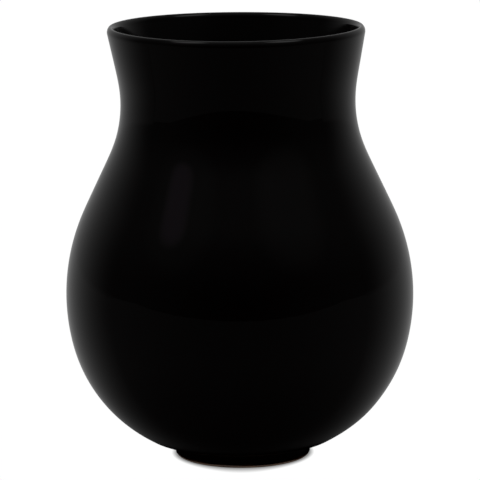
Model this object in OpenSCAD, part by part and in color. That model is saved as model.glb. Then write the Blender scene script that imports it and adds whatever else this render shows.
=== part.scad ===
// Round-bellied clay pot with a waisted neck, a flared mouth and a small turned foot.
// Five pieces of clay are luted together with slip on bevelled joints. A glossy black glaze
// covers the pot inside and out, and leaves the underside of the foot bare.
// Origin at the centre of the resting face, +Z up along the pot's axis, millimetres.
// The wall is drawn in half section, X outwards and Y upwards, as outlines at given depths
// under the outer surface. Their straight runs and arcs meet tangentially.

/* [Pot] */
// Height from the resting face to the top of the lip
pot_h = 280; // [274:1:290]
// Thickness of the finished wall, glaze included
wall_t = 4.9; // [4.5:0.1:6]
// Thickness of each coat of glaze
glaze_t = 0.35; // [0.2:0.05:0.6]

/* [Belly] */
// Widest diameter
belly_d = 224; // [220:1:230]
// Height of the widest circle
belly_z = 106; // [104:1:112]
// Radius of the arc above the widest circle
upper_r = 132; // [118:1:134]
// Radius of the flank, the arc just below the widest circle
flank_r = 131; // [120:1:136]
// Angle that the flank sweeps
flank_sweep = 14; // [12:0.5:22]
// Radius of the bowl, the arc below the flank
bowl_r = 96; // [92:1:98]
// Diameter of the trimmed edge where the bowl meets the flat underside
edge_d = 118; // [110:1:130]

/* [Neck and mouth] */
// Angle of the straight shoulder from the vertical
shoulder_slope = 25.5; // [22:0.5:28]
// Narrowest outside diameter of the neck
neck_d = 150; // [140:1:156]
// Radius of the hollow curve of the neck
neck_r = 78; // [60:1:90]
// Angle of the mouth's flare from the vertical
mouth_flare = 11; // [6:0.5:16]
// Rounding of the lip on its outer side
lip_outer_r = 4.6; // [4.2:0.1:4.8]
// How far the lip turns on its outer rounding
lip_outer_turn = 52; // [48:1:56]
// Rounding of the lip's crest
lip_top_r = 1.5; // [1.2:0.1:1.8]
// Rounding of the lip on its inner side
lip_inner_r = 4; // [3.5:0.1:4.2]

/* [Foot] */
// Outside diameter of the foot ring
foot_d = 87; // [76:1:96]
// Width of the foot ring
foot_w = 9; // [7:0.5:12]
// Rounding of the foot ring's lower edges
foot_round = 0.8; // [0.5:0.1:1]
// Height above the resting face at which the glaze stops
glaze_stop = 1.2; // [1.1:0.1:3]

/* [Joints] */
// Thickness of the slip in each joint
slip_t = 0.5; // [0.3:0.1:0.8]
// Angle between a bevelled joint and the wall
bevel = 45; // [40:1:60]
// Angle above the widest circle at which the belly joint crosses the wall
belly_joint_angle = 2.5; // [2:0.1:4]
// Distance from the start of the neck's curve down to the neck joint
neck_joint_drop = 8; // [5:0.5:14]
// Distance from the start of the lip down to the rim joint
rim_joint_drop = 7; // [5:0.5:10]

/* [Hidden] */
$fn = 240;

clay_colour = [0.30, 0.20, 0.14];
slip_colour = [0.38, 0.27, 0.20];
glaze_colour = [0.03, 0.03, 0.03];

// Depths of the clay's outer and inner faces, and of the middle of the wall
clay_out = glaze_t;
clay_in = wall_t - glaze_t;
mid_wall = wall_t / 2;

// Largest angle between neighbouring points on the wall's arcs and on the lip's roundings
wall_step = 2.5;
rounding_step = 10;

// Longer than any straight line that cuts the section
reach = 2 * pot_h;
// Long enough to cross the wall once
joint_reach = 3 * wall_t;

// Unit vector at an angle in the half section
function dir(angle) = [cos(angle), sin(angle)];

// Belly: the arcs' centres and ends
upper_c = [belly_d / 2 - upper_r, belly_z];
upper_end = upper_c + upper_r * dir(shoulder_slope);
flank_c = [belly_d / 2 - flank_r, belly_z];
flank_end = flank_c + flank_r * dir(-flank_sweep);
bowl_c = flank_end - bowl_r * dir(-flank_sweep);
edge_angle = acos((edge_d / 2 - bowl_c.x) / bowl_r);

// Neck: the shoulder runs on until the neck curve can turn at the narrowest diameter
shoulder_heading = 90 + shoulder_slope;
neck_start_x = neck_d / 2 + neck_r * (1 - cos(shoulder_slope));
shoulder_len = (upper_end.x - neck_start_x) / sin(shoulder_slope);
neck_start = upper_end + shoulder_len * dir(shoulder_heading);
neck_c = neck_start + neck_r * dir(shoulder_slope);
neck_end = neck_c + neck_r * dir(180 - mouth_flare);

// Lip: three arcs turn the wall through half a circle, and the crest reaches the pot's height.
// The inner one turns so far that the lip is as thick as the wall
mouth_heading = 90 - mouth_flare;
lip_outer_end = lip_outer_turn - mouth_flare;
lip_spare = lip_outer_r * (1 - cos(lip_outer_turn)) + lip_top_r * cos(lip_outer_turn) - wall_t;
lip_inner_turn = acos((lip_inner_r + lip_spare) / (lip_inner_r - lip_top_r));
lip_top_end = 180 - lip_inner_turn - mouth_flare;
lip_step = (lip_outer_r - lip_top_r) * dir(lip_outer_end);
lip_rise = lip_outer_r * sin(mouth_flare) + lip_step.y + lip_top_r;
mouth_len = (pot_h - lip_rise - neck_end.y) / cos(mouth_flare);
lip_start = neck_end + mouth_len * dir(mouth_heading);
inward = dir(180 - mouth_flare);
lip_outer_c = lip_start + lip_outer_r * inward;
lip_top_c = lip_outer_c + lip_step;
lip_inner_c = lip_top_c - (lip_inner_r - lip_top_r) * dir(lip_top_end);

// Point of the trimmed edge at a depth under the outer surface
function edge_point(depth) = bowl_c + (bowl_r - depth) * dir(-edge_angle);

foot_r = foot_d / 2;
foot_clay_r = foot_r - glaze_t;
foot_in_r = foot_r - foot_w;
underside_z = edge_point(clay_out).y;

// Joints: where each crosses the middle of the wall, and its direction, inwards and up
belly_joint = upper_c + (upper_r - mid_wall) * dir(belly_joint_angle);
belly_joint_dir = 90 + belly_joint_angle + bevel;
neck_joint = neck_start - neck_joint_drop * dir(shoulder_heading) - mid_wall * dir(shoulder_slope);
neck_joint_dir = shoulder_heading + bevel;
rim_joint = lip_start - rim_joint_drop * dir(mouth_heading) + mid_wall * inward;
rim_joint_dir = mouth_heading + bevel;

// Points along an arc, without its first point, so that stretches join end to end
function arc(centre, r, from, to, step) =
    let (count = ceil(abs(to - from) / step))
    [for (i = [1:count]) centre + r * dir(from + (to - from) * i / count)];

function reversed(points) = [for (i = [len(points) - 1:-1:0]) points[i]];

// Outline of the wall at a depth, from the trimmed edge up to the start of the lip
function wall_path(depth) = concat(
    [edge_point(depth)],
    arc(bowl_c, bowl_r - depth, -edge_angle, -flank_sweep, wall_step),
    arc(flank_c, flank_r - depth, -flank_sweep, 0, wall_step),
    arc(upper_c, upper_r - depth, 0, shoulder_slope, wall_step),
    [neck_start - depth * dir(shoulder_slope)],
    arc(neck_c, neck_r + depth, 180 + shoulder_slope, 180 - mouth_flare, wall_step),
    [lip_start + depth * inward]
);

// The same with a flat floor, from the axis
function floor_path(depth) = concat([[0, edge_point(depth).y]], wall_path(depth));

// Outline of the lip at a depth, from its outer side over the top to its inner face
function lip_path(depth) = concat(
    arc(lip_outer_c, lip_outer_r - depth, -mouth_flare, lip_outer_end, rounding_step),
    arc(lip_top_c, lip_top_r - depth, lip_outer_end, lip_top_end, rounding_step),
    arc(lip_inner_c, lip_inner_r - depth, lip_top_end, 180 - mouth_flare, rounding_step),
    [lip_start + (wall_t - depth) * inward]
);

// The whole wall of clay, before it is divided at the joints
module clay_section() {
    polygon(concat(floor_path(clay_out), lip_path(clay_out), reversed(floor_path(clay_in))));
}

// Quarter of a disc between two angles
module quarter_disc(centre, r, from) {
    translate(centre)
        intersection() {
            circle(r);
            rotate(from)
                square(r);
        }
}

// Everything on the lower side of a joint, short of half the slip
module below_joint(joint, direction) {
    translate(joint)
        rotate(direction)
            translate([-reach, slip_t / 2])
                square([2 * reach, reach]);
}

// Everything on the upper side of a joint, short of half the slip
module above_joint(joint, direction) {
    translate(joint)
        rotate(direction)
            translate([-reach, -reach - slip_t / 2])
                square([2 * reach, reach]);
}

// The joint itself, as thick as the slip
module in_joint(joint, direction) {
    translate(joint)
        rotate(direction)
            translate([-joint_reach, -slip_t / 2])
                square([2 * joint_reach, slip_t]);
}

// Turned ring that the pot stands on, with rounded lower edges
module foot_ring() {
    top = underside_z - slip_t;
    inner = foot_in_r + foot_round;
    outer = foot_clay_r - foot_round;
    color(clay_colour)
        rotate_extrude() {
            translate([foot_in_r, foot_round])
                square([foot_clay_r - foot_in_r, top - foot_round]);
            translate([inner, 0])
                square([outer - inner, foot_round]);
            quarter_disc([inner, foot_round], foot_round, 180);
            quarter_disc([outer, foot_round], foot_round, 270);
        }
}

// Slip between the foot ring and the underside
module foot_slip() {
    color(slip_colour)
        rotate_extrude()
            translate([foot_in_r, underside_z - slip_t])
                square([foot_clay_r - foot_in_r, slip_t]);
}

// Floor and lower half of the body, formed in one piece
module base_bowl() {
    color(clay_colour)
        rotate_extrude()
            intersection() {
                clay_section();
                below_joint(belly_joint, belly_joint_dir);
            }
}

// Slip in the joint at the belly
module belly_slip() {
    color(slip_colour)
        rotate_extrude()
            intersection() {
                clay_section();
                in_joint(belly_joint, belly_joint_dir);
            }
}

// Wall from the belly up to the foot of the neck
module shoulder() {
    color(clay_colour)
        rotate_extrude()
            intersection() {
                clay_section();
                above_joint(belly_joint, belly_joint_dir);
                below_joint(neck_joint, neck_joint_dir);
            }
}

// Slip in the joint under the neck
module neck_slip() {
    color(slip_colour)
        rotate_extrude()
            intersection() {
                clay_section();
                in_joint(neck_joint, neck_joint_dir);
            }
}

// Waisted collar between the shoulder and the rim
module neck() {
    color(clay_colour)
        rotate_extrude()
            intersection() {
                clay_section();
                above_joint(neck_joint, neck_joint_dir);
                below_joint(rim_joint, rim_joint_dir);
            }
}

// Slip in the joint under the rim
module rim_slip() {
    color(slip_colour)
        rotate_extrude()
            intersection() {
                clay_section();
                in_joint(rim_joint, rim_joint_dir);
            }
}

// Coil that makes the lip
module rim_coil() {
    color(clay_colour)
        rotate_extrude()
            intersection() {
                clay_section();
                above_joint(rim_joint, rim_joint_dir);
            }
}

// Coat poured inside, from the floor up to the start of the lip
module glaze_inside() {
    color(glaze_colour)
        rotate_extrude()
            polygon(concat(floor_path(clay_in), reversed(floor_path(wall_t))));
}

// Coat over the lip and down the outside, in under the trimmed edge and down the foot
module glaze_outside() {
    foot_skin = [
        [foot_clay_r, underside_z],
        [foot_clay_r, glaze_stop],
        [foot_r, glaze_stop],
        [foot_r, edge_point(0).y]
    ];
    outer_face = concat(wall_path(0), lip_path(0));
    inner_face = concat(wall_path(clay_out), lip_path(clay_out));
    color(glaze_colour)
        rotate_extrude()
            polygon(concat(foot_skin, outer_face, reversed(inner_face)));
}

foot_ring();
foot_slip();
base_bowl();
belly_slip();
shoulder();
neck_slip();
neck();
rim_slip();
rim_coil();
glaze_inside();
glaze_outside();
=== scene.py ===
"""Looks of a glossy black clay pot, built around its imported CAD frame.

Every piece is turned on the pot's axis from an outline in half section and then given the slight
irregularity of hand work: a lean at the neck, an oval belly, shallow waves and a foot that is a
little off centre. Metres, +Z up.
"""

import math

import bpy
import numpy as np
from mathutils import Matrix, Vector


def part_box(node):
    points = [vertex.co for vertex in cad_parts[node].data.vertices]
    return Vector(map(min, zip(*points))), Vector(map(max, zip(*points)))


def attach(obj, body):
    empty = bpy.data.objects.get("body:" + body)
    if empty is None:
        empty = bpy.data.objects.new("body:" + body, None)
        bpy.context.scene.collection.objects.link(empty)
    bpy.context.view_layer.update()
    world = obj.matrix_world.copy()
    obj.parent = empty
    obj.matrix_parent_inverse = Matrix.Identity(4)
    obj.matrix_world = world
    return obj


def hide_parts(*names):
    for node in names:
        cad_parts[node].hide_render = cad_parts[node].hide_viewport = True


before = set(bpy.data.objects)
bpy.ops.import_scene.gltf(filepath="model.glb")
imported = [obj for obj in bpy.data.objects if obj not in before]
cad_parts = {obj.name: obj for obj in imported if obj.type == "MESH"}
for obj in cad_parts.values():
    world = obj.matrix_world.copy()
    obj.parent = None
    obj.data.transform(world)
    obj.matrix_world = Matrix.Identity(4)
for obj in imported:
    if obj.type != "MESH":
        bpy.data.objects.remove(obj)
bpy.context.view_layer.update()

MM = 0.001


# ---------------------------------------------------------------- sizes

OUTSIDE_LOW, OUTSIDE_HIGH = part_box("glaze_outside")
FOOT_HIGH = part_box("foot_ring")[1]

POT_H = OUTSIDE_HIGH.z
BELLY_R = OUTSIDE_HIGH.x
GLAZE_STOP = OUTSIDE_LOW.z
FOOT_CLAY_R = FOOT_HIGH.x

WALL_T = 4.9 * MM
GLAZE_T = 0.35 * MM
SLIP_T = 0.5 * MM
CLAY_OUT = GLAZE_T
CLAY_IN = WALL_T - GLAZE_T

# Arcs of the outer surface, as in the CAD model
BELLY_Z = 106 * MM
UPPER_ARC_R = 132 * MM
FLANK_ARC_R = 131 * MM
BOWL_ARC_R = 96 * MM
NECK_ARC_R = 78 * MM
NECK_R = 75 * MM
EDGE_R = 59 * MM
FLANK_SWEEP = math.radians(14)
SHOULDER_SLOPE = math.radians(25.5)
MOUTH_FLARE = math.radians(11)
LIP_OUTER_R = 4.6 * MM
LIP_OUTER_TURN = math.radians(52)
LIP_TOP_R = 1.5 * MM
LIP_INNER_R = 4 * MM

FOOT_R = FOOT_CLAY_R + GLAZE_T
FOOT_W = 9 * MM
FOOT_IN_R = FOOT_R - FOOT_W
FOOT_ROUND = 0.8 * MM

BEVEL = math.radians(45)
BELLY_JOINT_ANGLE = math.radians(2.5)
NECK_JOINT_DROP = 8 * MM
RIM_JOINT_DROP = 7 * MM

# Spacing of the points along an outline, the reach over which the wall's arcs flow into each other,
# the finer spacing on the lip, and the number of points around the axis
OUTLINE_STEP = 1.5 * MM
WALL_SMOOTHING = 12 * MM
LIP_STEP_LEN = 0.35 * MM
FINE_SEGMENTS = 288
HIDDEN_SEGMENTS = 96

# A point nearer to the axis than this lies on it, and a bend above this angle is a sharp edge
ON_AXIS = 1e-7
SHARP_FROM = math.radians(42)


# ---------------------------------------------------------------- outlines in half section

def direction(angle):
    return np.array([math.cos(angle), math.sin(angle)])


UP = math.pi / 2
UPPER_C = np.array([BELLY_R - UPPER_ARC_R, BELLY_Z])
UPPER_END = UPPER_C + UPPER_ARC_R * direction(SHOULDER_SLOPE)
FLANK_C = np.array([BELLY_R - FLANK_ARC_R, BELLY_Z])
BOWL_C = FLANK_C + (FLANK_ARC_R - BOWL_ARC_R) * direction(-FLANK_SWEEP)
EDGE_ANGLE = math.acos((EDGE_R - BOWL_C[0]) / BOWL_ARC_R)

NECK_START_R = NECK_R + NECK_ARC_R * (1 - math.cos(SHOULDER_SLOPE))
SHOULDER_LEN = (UPPER_END[0] - NECK_START_R) / math.sin(SHOULDER_SLOPE)
NECK_START = UPPER_END + SHOULDER_LEN * direction(UP + SHOULDER_SLOPE)
NECK_C = NECK_START + NECK_ARC_R * direction(SHOULDER_SLOPE)
NECK_END = NECK_C + NECK_ARC_R * direction(math.pi - MOUTH_FLARE)

LIP_OUTER_END = LIP_OUTER_TURN - MOUTH_FLARE
LIP_SPARE = LIP_OUTER_R * (1 - math.cos(LIP_OUTER_TURN)) + LIP_TOP_R * math.cos(LIP_OUTER_TURN) - WALL_T
LIP_INNER_TURN = math.acos((LIP_INNER_R + LIP_SPARE) / (LIP_INNER_R - LIP_TOP_R))
LIP_TOP_END = math.pi - LIP_INNER_TURN - MOUTH_FLARE
LIP_STEP = (LIP_OUTER_R - LIP_TOP_R) * direction(LIP_OUTER_END)
LIP_RISE = LIP_OUTER_R * math.sin(MOUTH_FLARE) + LIP_STEP[1] + LIP_TOP_R
MOUTH_LEN = (POT_H - LIP_RISE - NECK_END[1]) / math.cos(MOUTH_FLARE)
LIP_START = NECK_END + MOUTH_LEN * direction(UP - MOUTH_FLARE)
INWARD = direction(math.pi - MOUTH_FLARE)
LIP_OUTER_C = LIP_START + LIP_OUTER_R * INWARD
LIP_TOP_C = LIP_OUTER_C + LIP_STEP
LIP_INNER_C = LIP_TOP_C - (LIP_INNER_R - LIP_TOP_R) * direction(LIP_TOP_END)


def arc(centre, radius, start, stop, step=OUTLINE_STEP):
    """Points along an arc, without its first point."""
    count = max(2, math.ceil(abs(stop - start) * radius / step))
    return [centre + radius * direction(start + (stop - start) * i / count) for i in range(1, count + 1)]


def line(start, stop, step=OUTLINE_STEP):
    """Points along a straight run, without its first point."""
    count = max(1, math.ceil(np.linalg.norm(stop - start) / step))
    return [start + (stop - start) * i / count for i in range(1, count + 1)]


def edge_point(depth):
    """Point of the trimmed edge, at a depth under the outer surface."""
    return BOWL_C + (BOWL_ARC_R - depth) * direction(-EDGE_ANGLE)


def smoothed(points, reach):
    """The same outline with its changes of curvature spread over a reach, and its ends kept."""
    points = np.array(points)
    half = int(round(reach / OUTLINE_STEP))
    weights = np.hanning(2 * half + 3)[1:-1]
    weights /= weights.sum()
    first = 2 * points[0] - points[half:0:-1]
    last = 2 * points[-1] - points[-2:-half - 2:-1]
    padded = np.vstack([first, points, last])
    return np.column_stack([np.convolve(padded[:, k], weights, "valid") for k in (0, 1)])


def wall_path(depth):
    """The wall at a depth, from the trimmed edge up to the start of the lip."""
    shoulder_foot = UPPER_END - depth * direction(SHOULDER_SLOPE)
    neck_foot = NECK_START - depth * direction(SHOULDER_SLOPE)
    mouth_foot = NECK_END + depth * INWARD
    points = [edge_point(depth)]
    points += arc(BOWL_C, BOWL_ARC_R - depth, -EDGE_ANGLE, -FLANK_SWEEP)
    points += arc(FLANK_C, FLANK_ARC_R - depth, -FLANK_SWEEP, 0)
    points += arc(UPPER_C, UPPER_ARC_R - depth, 0, SHOULDER_SLOPE)
    points += line(shoulder_foot, neck_foot)
    points += arc(NECK_C, NECK_ARC_R + depth, math.pi + SHOULDER_SLOPE, math.pi - MOUTH_FLARE)
    points += line(mouth_foot, LIP_START + depth * INWARD)
    return list(smoothed(points, WALL_SMOOTHING))


def floor_path(depth):
    """The same with a flat floor, from the axis, that curves up into the wall."""
    edge = edge_point(depth)
    return [np.array([0.0, edge[1]])] + line(np.array([0.0, edge[1]]), edge)[:-1] + wall_path(depth)


def lip_path(depth):
    """The lip at a depth, from its outer side over the top to its inner face."""
    points = arc(LIP_OUTER_C, LIP_OUTER_R - depth, -MOUTH_FLARE, LIP_OUTER_END, LIP_STEP_LEN)
    points += arc(LIP_TOP_C, LIP_TOP_R - depth, LIP_OUTER_END, LIP_TOP_END, LIP_STEP_LEN / 2)
    points += arc(LIP_INNER_C, LIP_INNER_R - depth, LIP_TOP_END, math.pi - MOUTH_FLARE, LIP_STEP_LEN)
    return points + [LIP_START + (WALL_T - depth) * INWARD]


def clipped(outline, point, heading, offset):
    """The part of a closed outline on the left of a line, at least an offset away from it."""
    normal = direction(heading + UP)
    height = [float(np.dot(p - point, normal)) - offset for p in outline]
    kept = []
    for i, p in enumerate(outline):
        q, a, b = outline[i - 1], height[i], height[i - 1]
        if (a > 0) != (b > 0):
            kept.append(q + (p - q) * b / (b - a))
        if a > 0:
            kept.append(p)
    return kept


# ---------------------------------------------------------------- hand work

# The neck leans along X, more and more from a height upwards
LEAN = -1.13 * MM
LEAN_FROM = 200 * MM
LEAN_OVER = 80 * MM

# The foot's shift along X and Y, and the heights between which it fades out
FOOT_OFF_CENTRE = (1.2 * MM, 2.0 * MM)
FOOT_BLEND = (8 * MM, 12 * MM)

# Waves round the neck's waist: their height, how far they reach up and down, depth, number in a
# full turn and start
RIPPLE_Z = 235 * MM
RIPPLE_LEN = 60 * MM
RIPPLE_DEPTH = 0.15 * MM
RIPPLE_LOBES = 4.5
RIPPLE_PHASE = math.radians(6)

# The fuller place low on the bowl: its depth, height and reach up and down
BULGE_DEPTH = 0.6 * MM
BULGE_Z = 28 * MM
BULGE_LEN = 10 * MM

# Shallow waves round the whole pot: depth, lobes, climb with height, phase
SWELLS = (
    (0.22 * MM, 2, 6.0, 0.7),
    (0.09 * MM, 3, 14.0, 2.1),
    (0.035 * MM, 5, 38.0, 4.4),
    (0.018 * MM, 8, 61.0, 1.3),
)

# The rim's two low waves, up and down
RIM_WAVE = 0.25 * MM
RIM_WAVE_PHASE = 1.9


def neck_ripple(angle, z):
    """The neck's wall tilts in and out by turns around its waist, less and less towards the back."""
    facing = angle + UP
    facing = np.arctan2(np.sin(facing), np.cos(facing))
    around = (0.5 - np.cos(RIPPLE_LOBES * (facing + RIPPLE_PHASE))) * np.cos(facing / 2) ** 2
    up_the_neck = (z - RIPPLE_Z) / RIPPLE_LEN
    return RIPPLE_DEPTH * around * np.sin(2 * math.pi * up_the_neck) * np.exp(-(2 * up_the_neck) ** 2)


def low_bulge(angle, z):
    """The bowl is a little fuller low on its right side."""
    return BULGE_DEPTH * np.exp(-((z - BULGE_Z) / BULGE_LEN) ** 2) * np.clip(np.cos(angle), 0, None) ** 4


def hand_made(radius, angle, z):
    """Where a point of the perfectly turned pot lies on the hand-made one."""
    swell = 0.0
    for depth, lobes, climb, phase in SWELLS:
        swell = swell + depth * np.sin(lobes * angle + climb * z + phase)
    swell = swell * np.clip(z / BELLY_Z, 0, 1) + low_bulge(angle, z)
    radius = radius + swell * np.clip(radius / BELLY_R, 0, 1) + neck_ripple(angle, z)
    at_foot = np.interp(z, FOOT_BLEND, (1.0, 0.0))
    x = radius * np.cos(angle) + LEAN * np.clip((z - LEAN_FROM) / LEAN_OVER, 0, None) ** 2
    x = x + at_foot * FOOT_OFF_CENTRE[0]
    y = radius * np.sin(angle) + at_foot * FOOT_OFF_CENTRE[1]
    lift = RIM_WAVE * np.sin(2 * angle + RIM_WAVE_PHASE) * np.clip(z / POT_H, 0, 1) ** 3
    return x, y, z + lift


# ---------------------------------------------------------------- meshes

def new_mesh(name, vertices, faces):
    mesh = bpy.data.meshes.new(name)
    mesh.from_pydata([tuple(v) for v in vertices], [], faces)
    mesh.validate()
    piece = bpy.data.objects.new(name, mesh)
    bpy.context.scene.collection.objects.link(piece)
    return piece


def turned(name, outline, segments, shift=None):
    """A closed outline turned on the pot's axis. shift(radius, angle, z) moves points as (dr, dz)."""
    outline = [np.asarray(p) for p in outline]
    angles = np.arange(segments) * 2 * math.pi / segments
    vertices, rings = [], []
    for radius, z in outline:
        start = len(vertices)
        if radius < ON_AXIS:
            drop = shift(np.zeros(1), np.zeros(1), np.array([z]))[1][0] if shift else 0.0
            vertices.append((0.0, 0.0, z + drop))
            rings.append([start] * segments)
            continue
        r, h = np.full(segments, radius), np.full(segments, z)
        if shift:
            dr, dz = shift(r, angles, h)
            r, h = r + dr, h + dz
        vertices += list(zip(*hand_made(r, angles, h)))
        rings.append(list(range(start, start + segments)))
    faces = []
    for i, low in enumerate(rings):
        high = rings[(i + 1) % len(rings)]
        for j in range(segments):
            k = (j + 1) % segments
            corners = list(dict.fromkeys([low[j], low[k], high[k], high[j]]))
            if len(corners) > 2:
                faces.append(corners)
    piece = new_mesh(name, vertices, faces)
    piece.data.shade_smooth()
    piece.data.set_sharp_from_angle(angle=SHARP_FROM)
    return piece


# ---------------------------------------------------------------- materials

class Nodes:
    """A short way to write a material's node tree."""

    def __init__(self, name):
        self.material = bpy.data.materials.new(name)
        self.material.use_nodes = True
        self.tree = self.material.node_tree
        self.tree.nodes.clear()
        output = self.tree.nodes.new("ShaderNodeOutputMaterial")
        self.shader = self.tree.nodes.new("ShaderNodeBsdfPrincipled")
        self.tree.links.new(self.shader.outputs["BSDF"], output.inputs["Surface"])

    def add(self, kind, inputs=None, **settings):
        node = self.tree.nodes.new(kind)
        for key, value in settings.items():
            setattr(node, key, value)
        for key, value in (inputs or {}).items():
            self.feed(node.inputs[key], value)
        return node

    def feed(self, socket, value):
        if isinstance(value, bpy.types.NodeSocket):
            self.tree.links.new(value, socket)
        else:
            socket.default_value = value

    def math(self, operation, *values):
        node = self.add("ShaderNodeMath", operation=operation)
        for socket, value in zip(node.inputs, values):
            self.feed(socket, value)
        return node.outputs[0]

    def mix(self, factor, low, high):
        node = self.add("ShaderNodeMix", data_type="RGBA")
        self.feed(node.inputs[0], factor)
        self.feed(node.inputs[6], low)
        self.feed(node.inputs[7], high)
        return node.outputs[2]

    def scaled(self, value, low, high, to_low, to_high, smooth=False):
        kind = "SMOOTHSTEP" if smooth else "LINEAR"
        node = self.add("ShaderNodeMapRange", interpolation_type=kind)
        for key, number in zip((0, 1, 2, 3, 4), (value, low, high, to_low, to_high)):
            self.feed(node.inputs[key], number)
        return node.outputs[0]

    def noise(self, point, scale, detail):
        node = self.add("ShaderNodeTexNoise", {"Vector": point, "Scale": scale, "Detail": detail})
        return node.outputs["Fac"]

    def distance(self, a, b):
        """The length of a step that is a one way and b the other."""
        return self.math("SQRT", self.math("MULTIPLY_ADD", a, a, self.math("MULTIPLY", b, b)))

    def place(self):
        """The point in the object's own space, and its height and distance from the axis."""
        point = self.add("ShaderNodeTexCoord").outputs["Object"]
        x, y, z = self.add("ShaderNodeSeparateXYZ", {0: point}).outputs
        return point, z, self.distance(x, y)

    def bump(self, height, distance, strength):
        node = self.add("ShaderNodeBump", {"Height": height, "Distance": distance, "Strength": strength})
        self.tree.links.new(node.outputs[0], self.shader.inputs["Normal"])


BLACK = (0.0003, 0.0001, 0.0001, 1)
BREAKING_BROWN = (0.020, 0.008, 0.004, 1)
CLAY_DARK = (0.050, 0.028, 0.018, 1)
CLAY_LIGHT = (0.130, 0.078, 0.050, 1)
SLIP_COLOUR = (0.160, 0.100, 0.066, 1)
SPECK_DARK = (0.020, 0.014, 0.010, 1)

GLAZE_IOR = 1.5
GLAZE_BUMP = 0.01 * MM
CLAY_BUMP = 0.05 * MM
CLAY_ROUGHNESS = (0.72, 0.9)

# The span that a noise texture's values mostly keep to
NOISE_SPAN = (0.3, 0.7)

# How far the glaze is thin and brown, at least and at most: around the trimmed edge, where it is
# half as brown, and above where it stops, with full brown only at a distance under that
THIN_ON_EDGE = (0.5 * MM, 1.3 * MM)
EDGE_BROWN = 0.5
THIN_AT_STOP = (0.5 * MM, 1.8 * MM)
FULL_BROWN_UNDER_STOP = 0.5 * MM


def glaze_material(name, gloss_low, gloss_high):
    """Black glaze, with a gloss between two roughnesses, that turns brown where it is thin."""
    n = Nodes(name)
    point, z, radius = n.place()
    edge_r, edge_z = (float(v) for v in edge_point(0))
    dr = n.math("SUBTRACT", radius, edge_r)
    dz = n.math("SUBTRACT", z, edge_z)
    from_edge = n.distance(dr, dz)
    patchy = n.noise(point, 90.0, 4.0)
    edge_reach = n.scaled(patchy, *NOISE_SPAN, *THIN_ON_EDGE)
    on_edge = n.scaled(from_edge, n.math("MULTIPLY", edge_reach, 0.3), edge_reach, 1.0, 0.0, True)
    stop_reach = n.scaled(patchy, *NOISE_SPAN, *(GLAZE_STOP + reach for reach in THIN_AT_STOP))
    on_stop = n.scaled(z, GLAZE_STOP - FULL_BROWN_UNDER_STOP, stop_reach, 1.0, 0.0, True)
    thin = n.math("MAXIMUM", n.math("MULTIPLY", on_edge, EDGE_BROWN), on_stop)
    n.feed(n.shader.inputs["Base Color"], n.mix(thin, BLACK, BREAKING_BROWN))
    smudge = n.noise(point, 38.0, 5.0)
    n.feed(n.shader.inputs["Roughness"], n.scaled(smudge, *NOISE_SPAN, gloss_low, gloss_high))
    n.shader.inputs["IOR"].default_value = GLAZE_IOR
    n.bump(n.noise(point, 420.0, 2.0), GLAZE_BUMP, 0.5)
    return n.material


def clay_material(name, dark, light):
    """Matte clay between two colours, cloudy and gritty, with dark specks."""
    n = Nodes(name)
    point = n.place()[0]
    cloud = n.noise(point, 55.0, 5.0)
    grit = n.noise(point, 900.0, 2.0)
    tone = n.math("ADD", n.math("MULTIPLY", cloud, 0.7), n.math("MULTIPLY", grit, 0.3))
    speck = n.scaled(n.noise(point, 1500.0, 1.0), 0.66, 0.72, 0.0, 1.0)
    colour = n.mix(n.scaled(tone, 0.35, 0.65, 0.0, 1.0), dark, light)
    n.feed(n.shader.inputs["Base Color"], n.mix(n.math("MULTIPLY", speck, 0.6), colour, SPECK_DARK))
    n.feed(n.shader.inputs["Roughness"], n.scaled(grit, *NOISE_SPAN, *CLAY_ROUGHNESS))
    n.bump(n.math("ADD", grit, n.math("MULTIPLY", speck, 0.8)), CLAY_BUMP, 0.6)
    return n.material


GLAZE_ROUGHNESS = (0.004, 0.018)
GLAZE_ROUGHNESS_INSIDE = (0.10, 0.16)

GLAZE = glaze_material("black_glaze", *GLAZE_ROUGHNESS)
GLAZE_INSIDE = glaze_material("black_glaze_inside", *GLAZE_ROUGHNESS_INSIDE)
CLAY = clay_material("clay_body", CLAY_DARK, CLAY_LIGHT)
BARE_CLAY = clay_material("bare_clay", CLAY_DARK, CLAY_LIGHT)
SLIP = clay_material("slip", CLAY_LIGHT, SLIP_COLOUR)


def place_piece(piece, node, material):
    piece.data.materials.append(material)
    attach(piece, "root")
    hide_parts(node)
    return piece


# ---------------------------------------------------------------- glaze

# Depth of the largest wave in the glaze's lower end on the foot, and how far up they fade out
FOOT_STOP_WAVE = 0.2 * MM
FOOT_STOP_FADE = 4 * MM

# Rounding of the glaze: in the corner under the bowl, on its lower end, and over the trimmed edge,
# where the curve starts inside the edge and is pulled past it
COVE_R = 1.5 * MM
COVE_STEP = 0.3 * MM
BEAD_R = 0.35 * MM
BEAD_IN = 0.1 * MM
BEAD_LEN = 1.5 * MM
BEAD_STEP = 0.15 * MM
EDGE_START = 1.6 * MM
EDGE_SWELL = 0.2 * MM
EDGE_STEPS = 8

# Spacing of the points along the foot's faces
FOOT_STEP = 0.8 * MM
FOOT_SIDE_STEP = 0.7 * MM
FOOT_TOP_STEP = 2 * MM
FOOT_ARC_STEP = 0.3 * MM

# Throwing rings inside: depth and spacing, the height over which they turn from the floor's to the
# wall's direction, how they fade towards the neck and the axis, and the height that ends them
RING_DEPTH = 0.15 * MM
RING_PITCH = 9 * MM
RING_TURN_UP = 20 * MM
RING_FADE_UP = 40 * MM
RING_FADE_IN = 9 * MM
RING_TOP = NECK_START[1] + 10 * MM


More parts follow.
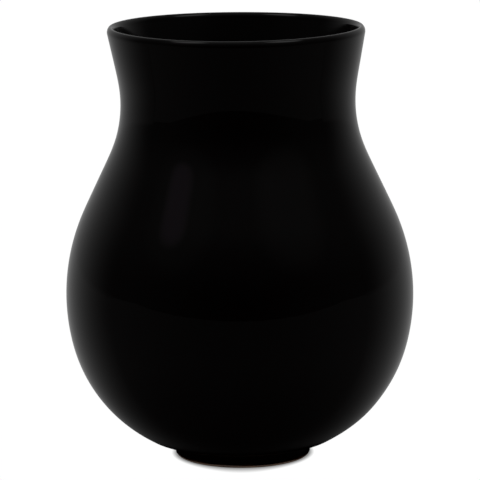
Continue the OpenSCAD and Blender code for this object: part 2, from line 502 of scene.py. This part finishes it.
def glaze_end_shift(radius, angle, z):
    """The glaze's lower edge on the foot wanders up and down; higher up nothing moves."""
    near_stop = np.clip(1 - (z - GLAZE_STOP) / FOOT_STOP_FADE, 0, 1) ** 2
    wander = np.sin(3 * angle + 0.4) + 0.6 * np.sin(7 * angle + 2.0) + 0.4 * np.sin(13 * angle)
    return np.zeros_like(radius), FOOT_STOP_WAVE * near_stop * (0.9 + wander)


def glaze_over_edge(edge, run_in):
    """From inside the trimmed edge round it to a point up the wall, as one curve."""
    start = edge - np.array([EDGE_START, 0.0])
    pull = edge + np.array([EDGE_SWELL, 0.0])
    steps = np.linspace(0, 1, EDGE_STEPS + 1)[1:]
    return [(1 - t) ** 2 * start + 2 * t * (1 - t) * pull + t ** 2 * run_in for t in steps]


def glaze_outside():
    edge = edge_point(0)
    wall = wall_path(0)
    cove_c = np.array([FOOT_R + COVE_R, edge[1] - COVE_R])
    bead_c = np.array([FOOT_R - BEAD_IN, GLAZE_STOP + BEAD_R])
    skin = [np.array([FOOT_CLAY_R, GLAZE_STOP])]
    skin += arc(bead_c, BEAD_R, -UP, 0, BEAD_STEP)
    skin += line(np.array([FOOT_R, GLAZE_STOP + BEAD_LEN]), np.array([FOOT_R, cove_c[1]]), FOOT_STEP)
    skin += arc(cove_c, COVE_R, math.pi, UP, COVE_STEP)
    skin += line(skin[-1], edge - np.array([EDGE_START, 0.0]), FOOT_STEP)
    skin += glaze_over_edge(edge, wall[2])
    outer = skin + wall[3:] + lip_path(0)
    inner = wall_path(CLAY_OUT) + lip_path(CLAY_OUT)
    back = inner[::-1] + [np.array([FOOT_CLAY_R, edge_point(CLAY_OUT)[1]])]
    piece = turned("glaze_skin_outside", outer + back, FINE_SEGMENTS, glaze_end_shift)
    return place_piece(piece, "glaze_outside", GLAZE)


def throwing_rings(radius, angle, z):
    """Shallow spiral rings that fingers leave inside, fading out in the neck and at the axis."""
    floor_r, floor_z = edge_point(WALL_T)
    up = np.clip(z - floor_z, 0, None)
    fade = np.clip((RING_TOP - z) / RING_FADE_UP, 0, 1) * np.clip(radius / RING_FADE_IN, 0, 1)
    along = np.where(up > 0, up, radius - floor_r)
    ring = RING_DEPTH * fade * (0.5 + 0.5 * np.sin(2 * math.pi * along / RING_PITCH + angle))
    upright = np.clip(up / RING_TURN_UP, 0, 1)
    return -ring * upright, ring * (1 - upright)


def glaze_inside():
    under = floor_path(CLAY_IN)
    face = floor_path(WALL_T)
    piece = turned("glaze_skin_inside", under + face[::-1], FINE_SEGMENTS, throwing_rings)
    return place_piece(piece, "glaze_inside", GLAZE_INSIDE)


# ---------------------------------------------------------------- clay and slip

def clay_outline():
    return floor_path(CLAY_OUT) + lip_path(CLAY_OUT) + floor_path(CLAY_IN)[::-1]


def joints():
    """Each joint's crossing point in the middle of the wall, and its heading inwards and up."""
    middle = WALL_T / 2
    shoulder_heading = UP + SHOULDER_SLOPE
    mouth_heading = UP - MOUTH_FLARE
    belly = UPPER_C + (UPPER_ARC_R - middle) * direction(BELLY_JOINT_ANGLE)
    neck = NECK_START - NECK_JOINT_DROP * direction(shoulder_heading) - middle * direction(SHOULDER_SLOPE)
    rim = LIP_START - RIM_JOINT_DROP * direction(mouth_heading) + middle * INWARD
    return {
        "belly": (belly, UP + BELLY_JOINT_ANGLE + BEVEL),
        "neck": (neck, shoulder_heading + BEVEL),
        "rim": (rim, mouth_heading + BEVEL),
    }


def below(outline, joint):
    point, heading = joint
    return clipped(outline, point, heading, SLIP_T / 2)


def above(outline, joint):
    point, heading = joint
    return clipped(outline, point, heading + math.pi, SLIP_T / 2)


def within(outline, joint):
    point, heading = joint
    lower = clipped(outline, point, heading, -SLIP_T / 2)
    return clipped(lower, point, heading + math.pi, -SLIP_T / 2)


# The trimming tool's groove under the foot, which fades out at the axis, and how near to the
# underside a point has to be to get it
GROOVE_DEPTH = 0.09 * MM
GROOVE_PITCH = 2.6 * MM
GROOVE_FADE = 4 * MM
GROOVE_WITHIN = 0.1 * MM


def turning_marks(radius, angle, z):
    """The spiral groove that a trimming tool leaves in the hollow under the foot."""
    underside = edge_point(CLAY_OUT)[1]
    inside_foot = (np.abs(z - underside) < GROOVE_WITHIN) & (radius < FOOT_IN_R)
    spiral = np.sin(2 * math.pi * radius / GROOVE_PITCH + angle) * np.clip(radius / GROOVE_FADE, 0, 1)
    return np.zeros_like(radius), np.where(inside_foot, GROOVE_DEPTH * spiral, 0.0)


def clay_pieces():
    wall = clay_outline()
    at = joints()
    bowl = turned("clay_base_bowl", below(wall, at["belly"]), FINE_SEGMENTS, turning_marks)
    place_piece(bowl, "base_bowl", CLAY)
    sections = {
        "shoulder": below(above(wall, at["belly"]), at["neck"]),
        "neck": below(above(wall, at["neck"]), at["rim"]),
        "rim_coil": above(wall, at["rim"]),
    }
    for node, section in sections.items():
        piece = turned("clay_" + node, section, HIDDEN_SEGMENTS)
        place_piece(piece, node, CLAY)
    for name, joint in at.items():
        piece = turned("slip_" + name, within(wall, joint), HIDDEN_SEGMENTS)
        place_piece(piece, name + "_slip", SLIP)


# Wear along the foot: the depth of its largest wave, how high it goes, and the height up to which it
# is held back, for the resting face itself stays flat and in place
WEAR_DEPTH = 0.12 * MM
WEAR_HEIGHT = 3 * MM
WEAR_FULL_FROM = 0.5 * MM


def foot_wear(radius, angle, z):
    """Small dents and rubbed places along the foot ring's lower edges."""
    low = np.clip(1 - z / WEAR_HEIGHT, 0, 1) * np.clip(z / WEAR_FULL_FROM, 0, 1)
    rub = np.sin(5 * angle + 1.0) + 0.7 * np.sin(11 * angle + 2.6) + 0.5 * np.sin(23 * angle)
    return WEAR_DEPTH * low * rub, np.zeros_like(z)


def foot_pieces():
    top = FOOT_HIGH.z
    inner, outer = FOOT_IN_R + FOOT_ROUND, FOOT_CLAY_R - FOOT_ROUND
    section = [np.array([inner, 0.0])]
    section += line(section[-1], np.array([outer, 0.0]), FOOT_STEP)
    section += arc(np.array([outer, FOOT_ROUND]), FOOT_ROUND, -UP, 0, FOOT_ARC_STEP)
    section += line(section[-1], np.array([FOOT_CLAY_R, top]), FOOT_SIDE_STEP)
    section += line(section[-1], np.array([FOOT_IN_R, top]), FOOT_TOP_STEP)
    section += line(section[-1], np.array([FOOT_IN_R, FOOT_ROUND]), FOOT_SIDE_STEP)
    section += arc(np.array([inner, FOOT_ROUND]), FOOT_ROUND, math.pi, 1.5 * math.pi, FOOT_ARC_STEP)[:-1]
    ring = turned("clay_foot_ring", section, FINE_SEGMENTS, foot_wear)
    place_piece(ring, "foot_ring", BARE_CLAY)
    low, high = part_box("foot_slip")
    corners = [(FOOT_IN_R, low.z), (FOOT_CLAY_R, low.z), (FOOT_CLAY_R, high.z), (FOOT_IN_R, high.z)]
    slip = turned("slip_foot", corners, FINE_SEGMENTS)
    place_piece(slip, "foot_slip", SLIP)


# ---------------------------------------------------------------- studio

CAMERA_AT = Vector((0.38 * MM, -2040 * MM, 521.2 * MM))
CAMERA_PITCH = math.radians(10.554)
CAMERA_ROLL = math.radians(0.468)
CAMERA_LENS = 241.15


def camera():
    data = bpy.data.cameras.new("camera")
    data.lens = CAMERA_LENS
    data.sensor_width = 36.0
    data.clip_end = 50.0
    item = bpy.data.objects.new("camera", data)
    tilt = Matrix.Rotation(UP - CAMERA_PITCH, 4, "X")
    roll = Matrix.Rotation(-CAMERA_ROLL, 4, "Z")
    item.matrix_world = Matrix.Translation(CAMERA_AT) @ tilt @ roll
    bpy.context.scene.collection.objects.link(item)
    bpy.context.scene.camera = item


# The table's edges. Its contact shadow is painted, as a ramp of brightness from the foot outwards,
# and is 1 + CONTACT_WASH times shorter to the sides, as lamps on both sides would make it
TABLE_FRONT, TABLE_BACK, TABLE_LEFT, TABLE_RIGHT = -0.94, 4.0, -2.6, 2.6
TABLE_WHITE = 1.01
CONTACT_REACH = 12 * MM
CONTACT_DARK = 0.31
CONTACT_WASH = 2.8

# What the glaze mirrors: a dark room with lighter sides and ceiling, a haze that sets in upwards,
# and a bright back wall that fades towards the front and steeply downwards. Where a pair marks off
# directions, it is by the Z or Y part of their unit vector
ROOM_DARK, ROOM_SIDES, ROOM_CEILING, ROOM_BACK, ROOM_FADE = 0.002, 0.018, 0.16, 0.33, 1.7
CEILING_POWER = 4.0
ROOM_HAZE = 0.009
HAZE_FROM_TO = (0.05, 0.4)
WALL_STEEP = (-0.95, -0.45)
WALL_STEEP_DIM = 0.2

# The mirrored table's brightness. In the room's light it lies behind, by Y, and ends just below the
# horizon, by Z
TABLE_DIM = 0.020
TABLE_END = (-0.07, -0.03)
TABLE_BEHIND = (-0.02, 0.02)

# From the first to the second Y the mirrored table gives way to the room's own light
TABLE_SPLIT = (-75 * MM, -50 * MM)

# The mirrored lamps: azimuth (0 is the camera's side, minus is left), elevation, the radius of the
# full core and of the whole glow in degrees, and strength
LEFT_CORE = (-57, 37, 3, 12, 0.055)
LAMP_GLOWS = (
    (-52, 38, 8, 28, 0.014),
    (45, 40, 10, 28, 0.019),
)
# The lamps' bright upper parts are high enough for the lip alone to mirror them
LAMP_TOPS = (
    (-64, 57, 6, 15, 0.65),
    (64, 57, 6, 15, 0.65),
)

# The left core's tint, and the strength at which it would be full
CORE_TINT = (1.0, 0.72, 1.0, 1)
CORE_TINT_FULL = 0.1

# The pot's own shade on the mirrored table, from dark to clear, by distance from the foot's centre
POT_SHADE = (52 * MM, 252 * MM)


class Light(Nodes):
    """A node tree that gives off light: one strength for glossy rays, another for the rest."""

    def __init__(self, tree, output_kind):
        self.tree = tree
        tree.nodes.clear()
        self.output = tree.nodes.new(output_kind)

    def shine(self, kind, mirrored, colour, plain):
        glossy = self.add("ShaderNodeLightPath").outputs["Is Glossy Ray"]
        dim = self.add(kind, {"Color": colour, "Strength": mirrored})
        white = self.add(kind, {"Color": (1, 1, 1, 1), "Strength": plain})
        both = self.add("ShaderNodeMixShader", {0: glossy})
        self.tree.links.new(white.outputs[0], both.inputs[1])
        self.tree.links.new(dim.outputs[0], both.inputs[2])
        self.tree.links.new(both.outputs[0], self.output.inputs["Surface"])
        return both.outputs[0]

    def towards_back(self, y):
        """How much of the bright back wall lies in a direction, from its Y part."""
        behind = self.math("POWER", self.math("MAXIMUM", y, 0.0), ROOM_FADE)
        return self.math("MULTIPLY", behind, ROOM_BACK)

    def lamp(self, way, azimuth, elevation, core, reach, strength):
        """A soft round light, full within core degrees of its centre and gone at reach degrees."""
        a, e = math.radians(azimuth), math.radians(elevation)
        centre = (math.sin(a) * math.cos(e), -math.cos(a) * math.cos(e), math.sin(e))
        along = self.add("ShaderNodeVectorMath", {0: way, 1: centre}, operation="DOT_PRODUCT")
        low, high = math.cos(math.radians(reach)), math.cos(math.radians(core))
        return self.scaled(along.outputs["Value"], low, high, 0.0, strength, True)


def floor():
    corners = [(TABLE_LEFT, TABLE_FRONT, 0), (TABLE_RIGHT, TABLE_FRONT, 0),
               (TABLE_RIGHT, TABLE_BACK, 0), (TABLE_LEFT, TABLE_BACK, 0)]
    piece = new_mesh("floor", corners, [(0, 1, 2, 3)])
    material = bpy.data.materials.new("pale_floor")
    material.use_nodes = True
    n = Light(material.node_tree, "ShaderNodeOutputMaterial")
    point = n.add("ShaderNodeTexCoord").outputs["Object"]
    x, y, _ = n.add("ShaderNodeSeparateXYZ", {0: point}).outputs
    foot_x, foot_y = FOOT_OFF_CENTRE
    from_foot = n.distance(n.math("SUBTRACT", x, foot_x), n.math("SUBTRACT", y, foot_y))
    sideways = n.math("POWER", n.math("ABSOLUTE", n.math("DIVIDE", x, n.distance(x, y))), 2.0)
    wash = n.math("MULTIPLY_ADD", sideways, CONTACT_WASH, 1.0)
    contact = n.math("MULTIPLY", n.math("SUBTRACT", from_foot, FOOT_R), wash)
    shade = n.scaled(contact, 0.0, CONTACT_REACH, CONTACT_DARK, TABLE_WHITE)
    # Towards the sides the mirrored table is a little lighter, as the room is
    lit = n.math("MULTIPLY_ADD", sideways, ROOM_SIDES, TABLE_DIM + ROOM_DARK)
    # Near the foot it is dark
    shaded = n.math("SUBTRACT", 1.0, n.math("POWER", n.scaled(from_foot, *POT_SHADE, 1.0, 0.0), 2.0))
    lit = n.math("MULTIPLY", lit, shaded)
    both = n.shine("ShaderNodeEmission", lit, (1, 1, 1, 1), shade)
    # Further back the glaze mirrors the room's own light through the table, dimmed by the same shade
    glossy = n.add("ShaderNodeLightPath").outputs["Is Glossy Ray"]
    behind = n.math("MULTIPLY", n.scaled(y, *TABLE_SPLIT, 0.0, 1.0), glossy)
    far = n.add("ShaderNodeMixShader", {0: behind})
    n.tree.links.new(both, far.inputs[1])
    n.tree.links.new(n.add("ShaderNodeBsdfTransparent", {"Color": shaded}).outputs[0], far.inputs[2])
    n.tree.links.new(far.outputs[0], n.output.inputs["Surface"])
    piece.data.materials.append(material)


def surroundings():
    """White to the camera and to matte surfaces, a dim room with a lit back wall to the glaze."""
    world = bpy.data.worlds.new("studio")
    bpy.context.scene.world = world
    world.use_nodes = True
    n = Light(world.node_tree, "ShaderNodeOutputWorld")
    way = n.add("ShaderNodeTexCoord").outputs["Generated"]
    x, y, z = n.add("ShaderNodeSeparateXYZ", {0: way}).outputs
    up = n.math("MAXIMUM", z, 0.0)
    ceiling = n.math("MULTIPLY", n.math("POWER", up, CEILING_POWER), ROOM_CEILING)
    sides = n.math("MULTIPLY", n.math("MULTIPLY", x, x), ROOM_SIDES)
    haze = n.scaled(z, *HAZE_FROM_TO, 0.0, ROOM_HAZE, True)
    wall = n.math("MULTIPLY", n.towards_back(y), n.scaled(z, *WALL_STEEP, WALL_STEEP_DIM, 1.0, True))
    table = n.scaled(z, *TABLE_END, TABLE_DIM, 0.0)
    table = n.math("MULTIPLY", table, n.scaled(y, *TABLE_BEHIND, 0.0, 1.0))
    room = n.math("ADD", n.math("ADD", ceiling, sides), n.math("ADD", wall, ROOM_DARK))
    room = n.math("ADD", n.math("ADD", room, table), haze)
    core = n.lamp(way, *LEFT_CORE)
    light = n.math("ADD", room, core)
    for lamp in LAMP_GLOWS + LAMP_TOPS:
        light = n.math("ADD", light, n.lamp(way, *lamp))
    tint = n.mix(n.math("DIVIDE", core, CORE_TINT_FULL), (1, 1, 1, 1), CORE_TINT)
    n.shine("ShaderNodeBackground", light, tint, 1.0)


def studio():
    camera()
    floor()
    surroundings()
    bpy.context.scene.view_settings.view_transform = "Standard"


glaze_outside()
glaze_inside()
clay_pieces()
foot_pieces()
studio()
